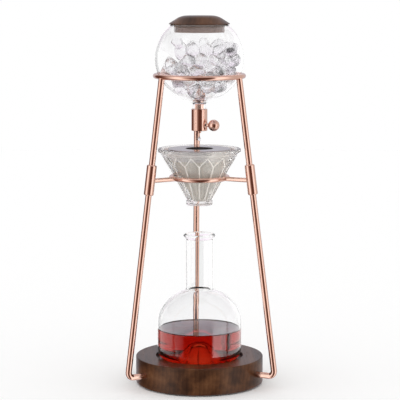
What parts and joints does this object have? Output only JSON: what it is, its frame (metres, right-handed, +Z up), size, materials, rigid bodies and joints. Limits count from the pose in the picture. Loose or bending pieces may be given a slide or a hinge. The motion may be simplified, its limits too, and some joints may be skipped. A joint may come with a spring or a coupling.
{
  "type": "cold drip coffee tower",
  "caption": "Cold drip coffee tower: glass water globe with a needle drip valve over a ribbed glass dripper and a round flask, in a copper tripod on a walnut base.",
  "frame": {"origin": "on the tower's axis, on the floor, in the middle of the base pad's underside", "axes": "+Z up, -Y front, +X to the right as seen from the front; one leg stands at the rear on +Y"},
  "size_m": [0.194, 0.1944, 0.4778],
  "materials": {
    "walnut": "oiled walnut, satin",
    "pad_rubber": "matte",
    "screw_steel": "bright",
    "copper": "polished copper plate",
    "glass": "clear blown glass",
    "ribbed_glass": "clear pressed glass, ribbed",
    "silicone": "grey silicone",
    "o_ring_rubber": "black rubber",
    "steel": "satin stainless steel",
    "steel_mesh": "fine woven mesh",
    "ice": "melting ice, contents only",
    "water": "clear water, contents only",
    "brewed_coffee": "clear, contents only",
    "ground_coffee": "damp crumb, contents only"
  },
  "bodies": {
    "stand": {"base_disc": "walnut", "base_pad": "pad_rubber", "leg_screws": "screw_steel", "top_ring": "copper", "middle_ring": "copper", "lower_leg_rear": "copper", "sleeve_rear": "copper", "upper_leg_rear": "copper", "ring_arm_rear": "copper", "lower_leg_left": "copper", "sleeve_left": "copper", "upper_leg_left": "copper", "ring_arm_left": "copper", "lower_leg_right": "copper", "sleeve_right": "copper", "upper_leg_right": "copper", "ring_arm_right": "copper"},
    "globe": {"globe": "glass", "outlet_gasket": "silicone", "spigot_o_ring": "o_ring_rubber", "valve_body": "copper", "drip_nozzle": "copper", "gland_nut": "copper"},
    "lid": {"lid": "walnut", "lid_seal": "silicone"},
    "needle": {"valve_needle": "screw_steel", "needle_o_ring": "o_ring_rubber"},
    "knob": {"valve_knob": "copper"},
    "dripper": {"dripper_glass": "ribbed_glass"},
    "filter": {"filter_mesh": "steel_mesh", "filter_rim": "steel"},
    "spreader": {"spreader_dish": "steel"},
    "flask": {"flask": "glass"}
  },
  "joints": [
    {"name": "globe_lift", "type": "slide", "parent": "stand", "child": "globe", "axis": [0, 0, 1], "range_m": [0, 0.09]},
    {"name": "lid_lift", "type": "slide", "parent": "globe", "child": "lid", "axis": [0, 0, 1], "range_m": [0, 0.04]},
    {"name": "needle_feed", "type": "slide", "parent": "globe", "child": "needle", "axis": [0.866, -0.5, 0], "range_m": [-0.00038, 0.00112]},
    {"name": "knob_turn", "type": "hinge", "parent": "needle", "child": "knob", "pos_m": [0, 0, 0.338], "axis": [0.866, -0.5, 0], "range_deg": [-180, 540]},
    {"name": "dripper_lift", "type": "slide", "parent": "stand", "child": "dripper", "axis": [0, 0, 1], "range_m": [0, 0.01]},
    {"name": "filter_lift", "type": "slide", "parent": "dripper", "child": "filter", "axis": [0, 0, 1], "range_m": [0, 0.006]},
    {"name": "spreader_lift", "type": "slide", "parent": "filter", "child": "spreader", "axis": [0, 0, 1], "range_m": [0, 0.006]},
    {"name": "flask_pull", "type": "slide", "parent": "stand", "child": "flask", "axis": [0, -0.8192, 0.5736], "range_m": [0, 0.12]}
  ],
  "couplings": [
    {"joint": "knob_turn", "follows": "needle_feed", "rad_per_m": 8377.6}
  ]
}
